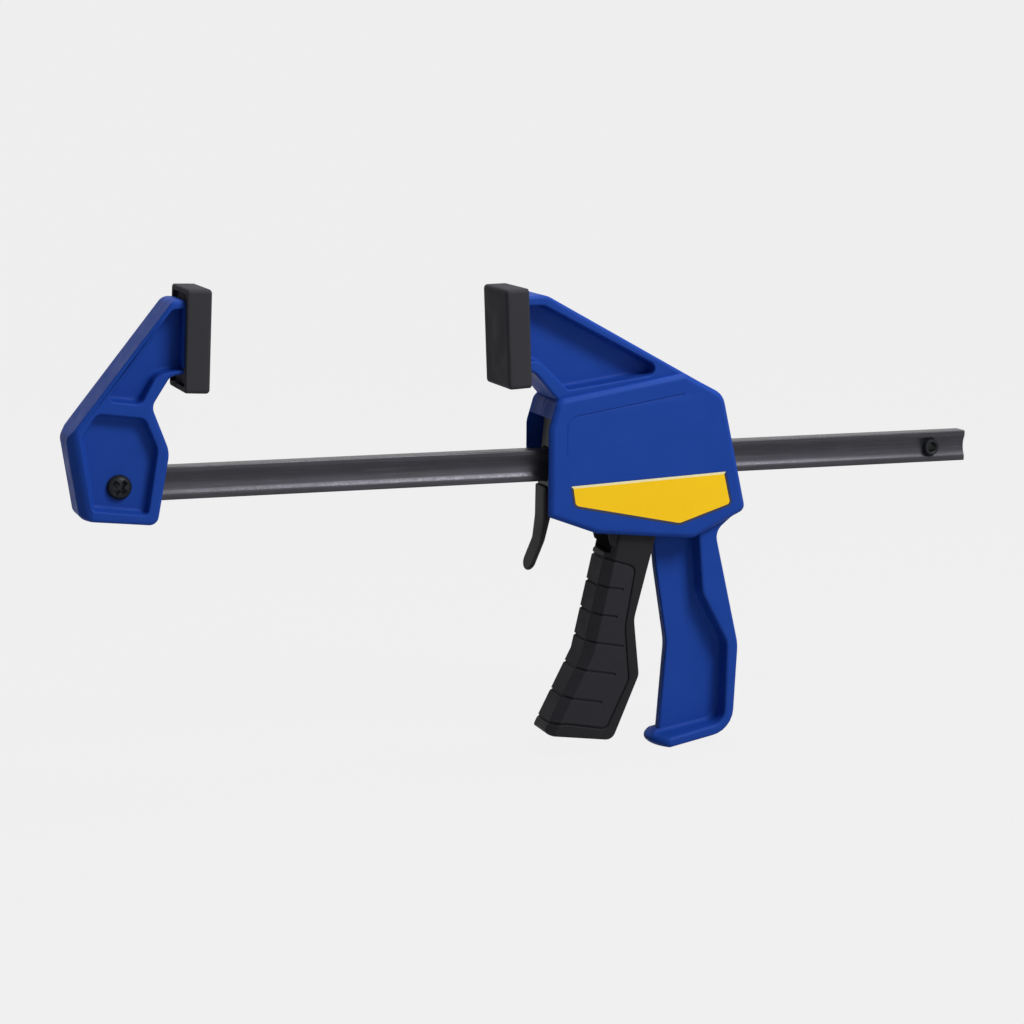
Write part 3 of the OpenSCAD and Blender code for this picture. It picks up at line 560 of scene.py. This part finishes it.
def panel_line(end, *sides):
    """The fine moulded line on the body's side, as a closed loop round its path. The path goes up
    from its foot, round an arc, and on along the body's top to its end. sides are the distances
    of the loop's two long edges from the path, to the right of it."""
    foot, middle, r = (9.1, 7.1), (15.4, 20.0), 6.3
    tilt, top_z, rise = 0.16, 23.9, 0.161  # of the body's top: its angle, and its line z = top_z + rise x
    angle = np.linspace(pi, pi / 2 + tilt, 7)
    bend = np.stack([middle[0] + r * np.cos(angle), middle[1] + r * np.sin(angle)], -1)
    path = np.concatenate([[foot], bend, [(end, top_z + rise * end)]])
    way = np.gradient(path, axis=0)
    off = np.stack([way[:, 1], -way[:, 0]], 1) / np.linalg.norm(way, axis=1)[:, None]
    return np.concatenate([path + off * sides[0], (path + off * sides[1])[::-1]]) + (body_x, bar_z)


def side_wall(corners, rings):
    """The body's raised side: a plate whose edge leans in by 3 mm between two soft bends of 45
    degrees, with the band's recess, the moulded line and the screws' wells in its face."""
    bend = np.linspace(0, pi / 4, 4)
    bend_r, root_r, lean_in, recess_y, line_y = 2.4, 2.2, 2.99, 18.65, 18.45
    insets = np.concatenate([[0], bend_r * (1 - np.cos(bend)), lean_in - bend_r * np.sin(bend[::-1])])
    depths = -np.concatenate([[side_y], side_y + 0.01 + root_r * np.sin(bend),
                              panel_y - bend_r * (1 - np.cos(bend[::-1]))])
    loops = np.stack([outline(corners, inset) for inset in insets])
    recess = np.stack([outline(band_form, inset) for inset in (-0.15, 0, 0)])
    end = 62 if rings else 71.5  # the far side's line stops short of a screw
    line = [panel_line(end, -0.4, 1.1), panel_line(end, -0.3, -0.1)]
    parts = [band_of(loops, depths), flat_of(-side_y, loops[0], *rings)]
    parts += [flat_of(-panel_y, loops[-1], recess[0], line[0], *rings)]
    parts += [band_of(recess, [-panel_y, 0.15 - panel_y, -recess_y]), flat_of(-recess_y, recess[-1])]
    parts += [band_of(line, [-panel_y, -line_y]), flat_of(-line_y, line[-1])]
    return parts + [band_of([ring, ring], [-side_y, -panel_y]) for ring in rings]


def handle_rib():
    """Half of the handle's rear rib and foot. Its outline runs from a round edge at its face to
    the middle and flares onto the web along a quarter circle. The foot's front end follows an
    arc seen from below."""
    flare, foot_r, edge_r = 2.6, 18, 1.5
    run, drop = quarter(edge_r)
    bend = np.linspace(0, pi / 2, 5)
    depths = np.concatenate([rib_y - drop, [11, 9.5, 8, 6.6], web_y + flare * (1 - np.sin(bend)),
                             [2.4, parting, 0]])
    spread = np.concatenate([np.zeros(9), flare * (1 - np.cos(bend)), [flare] * 3])
    insets = np.zeros((len(depths), len(rib_form)))
    insets[:5] += run[:, None]
    insets[:, 1:4] -= spread[:, None]
    insets[:, 4] -= 0.8 * spread
    insets[-1] += parting
    loops = np.stack([outline(rib_form, inset) for inset in insets])
    rear = body_x + 81
    front = rear - foot_r
    nose = rear - np.sqrt(foot_r**2 - depths**2)
    x, foot = loops[..., 0], loops[..., 1] < bar_z - 136
    bent = nose[:, None] + (x - front) * (rear - nose[:, None]) / foot_r
    loops[..., 0] = np.where(foot & (x < rear), bent, x)
    return [band_of(loops, -depths), flat_of(-rib_y, loops[0]), flat_of(0, loops[-1])]


def arm_of(body_well, wells):
    """Half of the arm: its raised frame, the pocket's floor and the middle under it. One well of
    the body's screws goes through the frame's foot, and the arm's own start in the floor."""
    inner = (5, 10)  # the frame's first and last pocket corner
    edge_radii = [0, 0, 2, 2, 0, 0.9, 0.9, 0.9, 0.9, 0.9, 0, 1.6, 1.6, 1.6]
    loops, depths = frame_of(arm_frame, edge_radii, slice(*inner), arm_y, arm_floor)
    core, floor_loop = middle_of(loops, arm_frame, *inner)
    edges = [outline(core), outline(core), outline(core, parting)]
    parts = [band_of(loops, -depths), flat_of(-arm_y, loops[0], *body_well)]
    parts += [band_of(edges, [-arm_floor, -parting, 0]), flat_of(0, edges[-1])]
    parts += [flat_of(-arm_floor, floor_loop, *wells)]
    parts += [part for ring in body_well for part in well_of(ring, -arm_y, -arm_floor)]
    return parts + [part for ring in wells for part in well_of(ring, -arm_floor, -arm_seat_y)]


def shell(name, replaced, far):
    """One shell, drawn on the near side; the far one has the screws' wells and a relief beside
    the release lever, and is mirrored."""
    body_wells = [circle(x, z, well_r) for x, z in ((72, 36), (23, -26.4), (90, 16))] if far else []
    arm_wells = [circle(x, z, well_r) for x, z in ((-2.3, 66), (25.7, 51))] if far else []
    web_wells = [circle(79, -126, well_r)] if far else []
    pin_boss = circle(26.4, 22, 6)

    parts = side_wall(far_form if far else body_form, body_wells)
    parts += prism_of(rear_wall, -side_y, -plate_y, *body_wells[::2])
    parts += prism_of(seat_wall, -plate_y, -bar_y)
    parts += prism_of(upper_wall, -bar_y, 0, chamfer=parting)
    parts += prism_of(lower_wall, -bar_y, 0, chamfer=parting)
    parts += prism_of(chin, -side_y, -plate_y, *body_wells[1:2])
    parts += prism_of(chin, -plate_y, 0, chamfer=parting)
    parts += prism_of(spring_wall, -root_y, -bar_y)
    parts += well_of(pin_boss, -root_y, -boss_y) + [flat_of(-root_y, pin_boss)]
    parts += arm_of(body_wells[:1], arm_wells) + handle_rib()

    loops, depths = edge_of(web_form, -web_y, 0, 1.2)
    parts += [band_of(loops, depths), flat_of(-web_y, loops[0], *web_wells), flat_of(0, loops[-1])]
    for ring in web_wells:
        parts += well_of(ring, -web_y, -web_seat_y)
    if not far:
        parts += tip_of(1, -lean, moving_pad_middle)
    piece(name, joined(name, parts, mirrored=far), blue, "blue_nylon", "moving_head", replaced)


shell("near_shell", "shell_near", far=False)
shell("far_shell", "shell_far", far=True)


# ---- Jaw screw and nut ----------------------------------------------------------------------------
# Blackened pan head screw with a cross recess, through the jaw and the bar, and a hex nut in the
# far pocket.
def round_of(x, z, radii, depths, n=48):
    """A turned part: circles about a line across the clamp, one for each radius and depth."""
    angle = np.arange(n) * 2 * pi / n
    ring = np.stack([np.cos(angle), np.sin(angle)], -1)
    return band_of(np.asarray(radii, float)[:, None, None] * ring + (x, z), depths)


# Phosphated steel looks soft black and a little cloudy. Its crystals are about 0.02 mm across, and
# are drawn at 1.5 mm so that they show.
screw_black, tree = blank("phosphated_screw_steel")
place = node(tree, "TexCoord").outputs["Object"]
bloom = node(tree, "TexNoise", {"Vector": place, "Scale": 1 / (1.5 * mm), "Detail": 4})
base = node(tree, "Mix", {0: bloom.outputs[0], 6: ink("#16181B"), 7: ink("#26292D")}, data_type="RGBA")
gloss = node(tree, "MapRange", {0: bloom.outputs[0], 1: 0.3, 2: 0.7, 3: 0.36, 4: 0.5})
relief = node(tree, "Bump", {"Height": bloom.outputs[0], "Strength": 0.1, "Distance": 0.05 * mm})
skin = node(tree, "BsdfPrincipled", {"Base Color": base.outputs[2], "Roughness": gloss.outputs[0],
                                     "Normal": relief.outputs[0], "Specular IOR Level": 0.15,
                                     "Metallic": 0.1})
node(tree, "OutputMaterial", {"Surface": skin.outputs[0]})

# The head on a grid of radius r and angle: 3.4 (1 - (r / 6.05)^3.2)^0.5 high, less up to 2.4 where
# the point lies in one of two crossed bars, each about 2 by 7 mm half way down its sloping walls.
screw_x = jaw_x - 31.4
head_r, head_h, recess_h = 6, 3.4, 2.4
bar_w, bar_l = 1.05, 3.6
radius = np.concatenate([np.linspace(0, head_r, 90), [head_r, 5.6, 0]])[:, None]
angle = np.arange(240) * 2 * pi / 240
u, v = np.abs(radius * np.cos(angle + pi / 4)), np.abs(radius * np.sin(angle + pi / 4))
cross = np.minimum(np.maximum(u / bar_w, v / bar_l), np.maximum(v / bar_w, u / bar_l))
dome = head_h * np.sqrt(np.clip(1 - (radius / (head_r + 0.05)) ** 3.2, 0, 1))
height = dome - recess_h * np.clip((1.2 - cross) / 0.5, 0, 1)
height[-3:] = [[0.3], [0.02], [0.02]]  # the rim's foot and the underside
points = np.stack([screw_x + radius * np.cos(angle), -screw_floor - height,
                   bar_z + radius * np.sin(angle)], -1)
head = (points.reshape(-1, 3), grid_faces(*points.shape[:2], True))
shank = round_of(screw_x, bar_z, [0, 2.3, 3, 3, 0], [12.6, 12.6, 11.9, -8.2, -8.2])
piece("cross_head_screw", joined("cross_head_screw", [head, shank]), screw_black, "blackened_steel",
      "bar_body", "jaw_screw")

# The nut's outline at an angle is the nearer of a hexagon's side, 4.94 mm out, and a circle
# that makes the chamfers: one circle for each depth.
hexagon = np.arange(72) * pi / 36
side_r = 4.94 / np.cos((hexagon + pi / 6) % (pi / 3) - pi / 6)
nut_r = np.minimum(side_r, np.array([2.6, 3.2, 3.2, 4.9, 5.75, 5.75, 5.4, 2.6])[:, None])
loops = nut_r[..., None] * np.stack([np.cos(hexagon), np.sin(hexagon)], -1) + (screw_x, bar_z)
nut_ys = [11.6, 12.2, 12.2, 12.2, 11.7, 8.3, 8.02, 8.02]
nut = band_of(np.concatenate([loops, loops[:1]]), nut_ys + nut_ys[:1])

# Zinc plate is a pale grey metal whose gloss is cloudy over 4 mm or so. The grinding marks under it
# are about 0.05 mm apart, and are drawn at 0.3 mm.
zinc, tree = blank("zinc_plated_steel")
place = node(tree, "TexCoord").outputs["Object"]
bloom = node(tree, "TexNoise", {"Vector": place, "Scale": 1 / (4 * mm), "Detail": 5})
brushed = node(tree, "TexNoise", {"Vector": place, "Scale": 1 / (0.3 * mm), "Detail": 2})
base = node(tree, "Mix", {0: bloom.outputs[0], 6: ink("#7C7D80"), 7: ink("#A3A4A6")}, data_type="RGBA")
gloss = node(tree, "MapRange", {0: bloom.outputs[0], 1: 0.3, 2: 0.7, 3: 0.28, 4: 0.42})
relief = node(tree, "Bump", {"Height": brushed.outputs[0], "Strength": 0.08, "Distance": 0.05 * mm})
skin = node(tree, "BsdfPrincipled", {"Base Color": base.outputs[2], "Roughness": gloss.outputs[0],
                                     "Normal": relief.outputs[0], "Metallic": 1.0})
node(tree, "OutputMaterial", {"Surface": skin.outputs[0]})
piece("hex_nut", joined("hex_nut", [nut]), zinc, "bright_steel", "bar_body", "jaw_nut")


# ---- Stop pin -------------------------------------------------------------------------------------
# Hollow spring pin pressed through the bar near its free end, its mouths chamfered. It keeps the
# head on the bar.
bar_end = 410.0
pin_x = bar_end - 20.1
mouth_r, mouth_y = [2.5, 2.95, 3.4, 3.85, 4.0], [6.3, 6.65, 6.75, 6.65, 6.3]
sleeve = round_of(pin_x, bar_z, mouth_r + mouth_r[::-1] + mouth_r[:1],
                  [-y for y in mouth_y] + mouth_y[::-1] + [-mouth_y[0]])
piece("spring_pin", joined("spring_pin", [sleeve]), screw_black, "blackened_steel", "bar_body", "stop_pin")


# ---- Pads -----------------------------------------------------------------------------------------
# Soft caps of black thermoplastic rubber pushed over the jaws' tips: a slightly crowned face,
# round edges, and a recessed back with an opening for the jaw's neck.
def rubber_of(name, low, high, rough, grain_mm, depth):
    """Moulded black rubber or nylon, dull and slightly cloudy over 14 mm, with a fine pale bloom
    on its grain. A spark eroded grain is about 0.1 mm, and is drawn coarser so that it shows."""
    made, tree = blank(name)
    place = node(tree, "TexCoord").outputs["Object"]
    cloud = node(tree, "TexNoise", {"Vector": place, "Scale": 1 / (14 * mm), "Detail": 4,
                                    "Distortion": 0.6})
    grain = node(tree, "TexNoise", {"Vector": place, "Scale": 1 / (grain_mm * mm), "Detail": 3})
    base = node(tree, "Mix", {0: cloud.outputs[0], 6: ink(low), 7: ink(high)}, data_type="RGBA")
    dust = node(tree, "MapRange", {0: grain.outputs[0], 1: 0.55, 2: 0.8, 3: 0.0, 4: 0.35})
    tint = node(tree, "Mix", {0: dust.outputs[0], 6: base.outputs[2], 7: ink("#414246")}, data_type="RGBA")
    gloss = node(tree, "MapRange", {0: cloud.outputs[0], 1: 0.3, 2: 0.7, 3: rough - 0.06, 4: rough + 0.06})
    relief = node(tree, "Bump", {"Height": grain.outputs[0], "Strength": depth, "Distance": 0.08 * mm})
    skin = node(tree, "BsdfPrincipled", {"Base Color": tint.outputs[2], "Roughness": gloss.outputs[0],
                                         "Normal": relief.outputs[0], "Specular IOR Level": 0.09})
    node(tree, "OutputMaterial", {"Surface": skin.outputs[0]})
    return made


def frame_corners(y, z0, z1, radius=2.2):
    """The corners of a rounded oblong, y to each side and from z0 to z1."""
    return [(-y, z0, radius), (y, z0, radius), (y, z1, radius), (-y, z1, radius)]


def cap(name, turn, middle, facing, body, replaced):
    """A pad as rows of an inset and a distance behind its face, carried round its rounded outline:
    face, side, rim of the back, recess, opening and inside. Turned about the middle of its face,
    which looks to +X where facing is -1 and to -X where it is 1."""
    outer, opening = frame_corners(18, -24.75, 24.75), frame_corners(13.3, -13.6, 18.1)
    crown, back, draft = 0.28, 12.2, 0.12
    recess_x, neck_x, inside_x = 9.9, 8.95, 3.25  # how far behind the face the hollows end
    face_in = np.array([15.5, 12, 8, 5, 3, 2.1])
    run, drop = quarter(1.7, 5)
    back_in, back_rise = quarter(0.9)
    insets = np.concatenate([face_in, run, [0, draft], back_in[::-1] + draft, [2.5, 2.75, 2.85]])
    behind = np.concatenate([crown * (1 - face_in / 18) ** 2, 0.27 + drop, [5, 11],
                             back - back_rise[::-1], [back, back - 0.15, back - 0.4]])
    recess, inside = outline(outer, 3.05, 5), outline(outer, 3.2, 5)
    neck = outline(opening, 0, 5)
    loops = [outline(outer, inset, 5) for inset in insets] + [recess, neck, neck, inside, inside]
    behind = np.concatenate([behind, [recess_x, recess_x, neck_x, neck_x, inside_x]])
    parts = [band_of(loops, behind), flat_of(behind[0], loops[0]), flat_of(behind[-1], loops[-1])]
    parts = [(tilted(p[:, [1, 0, 2]] * (facing, 1, 1), turn, middle), faces) for p, faces in parts]
    piece(name, joined(name, parts), soft, "pad_rubber", body, replaced)


soft = rubber_of("thermoplastic_rubber", "#323236", "#3A3A3F", 0.66, 0.35, 0.16)
cap("fixed_cap", lean, fixed_pad_middle, -1, "bar_body", "fixed_pad")
cap("moving_cap", -lean, moving_pad_middle, 1, "moving_head", "moving_pad")


# ---- Bands ----------------------------------------------------------------------------------------
# A plain yellow printed film in a shallow recess on each side of the body. A pale line along its top is a
# painted highlight on its edge, and a dark one round the rest is a painted shadow.
def painted_line_of(name, low, high):
    """A line of painted light along the film's edge: one satin tone with a faint mottle over 2 mm."""
    made, tree = blank(name)
    place = node(tree, "TexCoord").outputs["Object"]
    spots = node(tree, "TexNoise", {"Vector": place, "Scale": 1 / (2 * mm)})
    base = node(tree, "Mix", {0: spots.outputs[0], 6: ink(low), 7: ink(high)}, data_type="RGBA")
    gloss = node(tree, "MapRange", {0: spots.outputs[0], 3: 0.32, 4: 0.44})
    relief = node(tree, "Bump", {"Height": spots.outputs[0], "Strength": 0.05, "Distance": 0.05 * mm})
    skin = node(tree, "BsdfPrincipled", {"Base Color": base.outputs[2], "Roughness": gloss.outputs[0],
                                         "Normal": relief.outputs[0]})
    node(tree, "OutputMaterial", {"Surface": skin.outputs[0]})
    return made


# Screen printed film is an even warm yellow with a satin gloss. The dots of such a screen are about
# 0.1 mm apart, and are drawn at 0.45 mm.
film, tree = blank("printed_yellow_film")
place = node(tree, "TexCoord").outputs["Object"]
cloud = node(tree, "TexNoise", {"Vector": place, "Scale": 1 / (22 * mm), "Detail": 3})
dots = node(tree, "TexVoronoi", {"Vector": place, "Scale": 1 / (0.45 * mm)})
base = node(tree, "Mix", {0: cloud.outputs[0], 6: ink("#FBC504"), 7: ink("#FFCF0A")}, data_type="RGBA")
spread = node(tree, "MapRange", {0: dots.outputs[0], 1: 0.1, 2: 0.5, 3: 0.0, 4: 0.12})
tint = node(tree, "Mix", {0: spread.outputs[0], 6: base.outputs[2], 7: ink("#FFD428")}, data_type="RGBA")
gloss = node(tree, "MapRange", {0: cloud.outputs[0], 1: 0.3, 2: 0.7, 3: 0.36, 4: 0.46})
relief = node(tree, "Bump", {"Height": cloud.outputs[0], "Strength": 0.05, "Distance": 0.2 * mm})
skin = node(tree, "BsdfPrincipled", {"Base Color": tint.outputs[2], "Roughness": gloss.outputs[0],
                                     "Normal": relief.outputs[0], "Specular IOR Level": 0.2})
node(tree, "OutputMaterial", {"Surface": skin.outputs[0]})
# The pale line is a painted highlight on the film's top edge, and the dark one is a painted shadow round
# the rest of it.
pale, dark = painted_line_of("painted_highlight_line", "#EBDD9E", "#F6ECC0"), painted_line_of("painted_shadow_line", "#0E1430", "#141B3C")

# The outline has 7 points a corner. The pale painted highlight runs over the top, from the middle of the
# last corner (point 31) to that of the first (point 3), and the dark painted shadow round the rest.
rim, core = outline(band_form, 0.06), outline(band_form, 1.25)
top, rest = np.r_[31:35, 0:4], np.arange(3, 32)
film_ys = (-18.7, -18.97)
for side in ("near", "far"):
    for name, loop, finish, replaced in (
            (f"film_{side}", core, film, [f"band_{side}"]),
            (f"top_line_{side}", np.concatenate([rim[top], core[top][::-1]]), pale, []),
            (f"outline_{side}", np.concatenate([rim[rest], core[rest][::-1]]), dark, [])):
        parts = [band_of([loop, loop], film_ys)] + [flat_of(y, loop) for y in film_ys]
        mesh = joined(name, parts, mirrored=side == "far")
        piece(name, mesh, finish, "band_film", "moving_head", *replaced)


# ---- Trigger --------------------------------------------------------------------------------------
# Black nylon trigger, a channel open to the rear on a steel pin, with a soft grip moulded round
# its front: finger grooves across it and a fine seam round its edge.
black = rubber_of("black_nylon", "#1F1F22", "#252528", 0.54, 0.3, 0.10)
grip_soft = rubber_of("soft_grip", "#27272B", "#2D2D32", 0.64, 0.4, 0.16)
mesh = rounded_copy("trigger", lambda ends, proud: np.where(proud, 0.8, 0.4))
piece("trigger_lever", mesh, black, "black_nylon", "trigger_body", "trigger", width=1.0)
mesh = rounded_copy("trigger_grip", lambda ends, proud: np.where(proud, 0.7, 0.3))
piece("finger_grip", mesh, grip_soft, "grip_rubber", "trigger_body", "trigger_grip", width=0.5)


# ---- Release lever --------------------------------------------------------------------------------
# Curved black finger lever with a round tip, moulded onto the foot of the brake plate. Its outline
# runs from side to side, drawn in at its long edges, and its finger end narrows to the sides.
lever_form = row([(1.4, -10.4, 1), (1.2, -27, 12), (-0.5, -39, 12), (-6.4, -53, 1.1), (-4.4, -54.4, 1.2),
                  (2.4, -38.4, 14), (5.6, -24, 6), (7.6, -19, 2), (7.6, -10.8, 1)], body_x)
half_w, edge_w, edge_in, narrow = 7.5, 2.4, 0.85, 0.42
run, drop = quarter(1.0, 6)
half_ys = np.concatenate([half_w - edge_w * drop, [4.4, 3.6, 2.8, 1.9, 1.0]])
half_in = np.concatenate([edge_in * run, np.zeros(5)])
ys = np.concatenate([-half_ys, [0], half_ys[::-1]])
insets = np.concatenate([half_in, [0], half_in[::-1]])
loops = np.stack([outline(lever_form, inset, 8) for inset in insets])

# Points below the bend draw towards it, by up to 42 percent at the sides, so that the finger end
# is an arc seen from the front.
bend = np.array([body_x + 1.0, bar_z - 36])
arc = np.sqrt(np.clip(1 - (ys / (half_w + 0.1)) ** 2, 0, 1))[:, None, None]
low = loops[..., 1:] < bend[1]
loops = np.where(low, bend + (loops - bend) * (1 - narrow * (1 - arc)), loops)
parts = [band_of(loops, ys), flat_of(ys[0], loops[0]), flat_of(ys[-1], loops[-1])]
piece("finger_lever", joined("finger_lever", parts), black, "black_nylon", "release_body", "release_lever")


# ---- Plates, springs and hidden screws ------------------------------------------------------------
# Punched steel brake plate in front, blackened; two drive plates, coil springs and the trigger's
# pin inside the body; six screws from the far side.
mesh = rounded_copy("brake_plate", lambda ends, proud: np.where(proud, 1.0, 0.0))
piece("punched_plate", mesh, screw_black, "bright_steel", "release_body", "brake_plate", width=0.4)
steels = {"shell_screws": screw_black, "trigger_pin": zinc, "drive_plate_front": zinc,
          "drive_plate_rear": zinc}
for name, steel in steels.items():
    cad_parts[name].data.materials.clear()
    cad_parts[name].data.materials.append(steel)


def coil(name, replaced, turns, x0, x1):
    """A coil spring of round wire round the bar from x0 to x1, its end turns closer. At turn t its middle
    is (x(t), r cos 2 pi t, r sin 2 pi t)."""
    wire, r, close, sides = 0.7, 10.904, 1.95, 12
    pitch = (x1 - x0 - 2 * wire - close) / (turns - 1)
    t = np.linspace(0, turns, turns * 40 + 1)
    run = close / 2 + (turns - 1) * pitch
    along = x0 + wire + np.interp(t, [0, 0.5, turns - 0.5, turns], [0, close / 2, run, run + close / 2])
    angle = np.arange(sides) * 2 * pi / sides
    reach = r + wire * np.cos(angle)
    turn = 2 * pi * t[:, None]
    tube = np.stack([along[:, None] + wire * np.sin(angle), np.cos(turn) * reach,
                     bar_z + np.sin(turn) * reach], -1)
    last = len(t) * sides
    ends = [list(range(sides)), list(range(last - sides, last))]
    mesh = joined(name, [(tube.reshape(-1, 3), grid_faces(len(t), sides, True) + ends)])
    made = piece(name, mesh, zinc, "bright_steel", "moving_head", replaced)
    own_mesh(made)


coil("drive_coil", "drive_spring", 7, body_x + 52.86, body_x + 81.34)
coil("brake_coil", "brake_spring", 3, body_x + 9, body_x + 17.9)
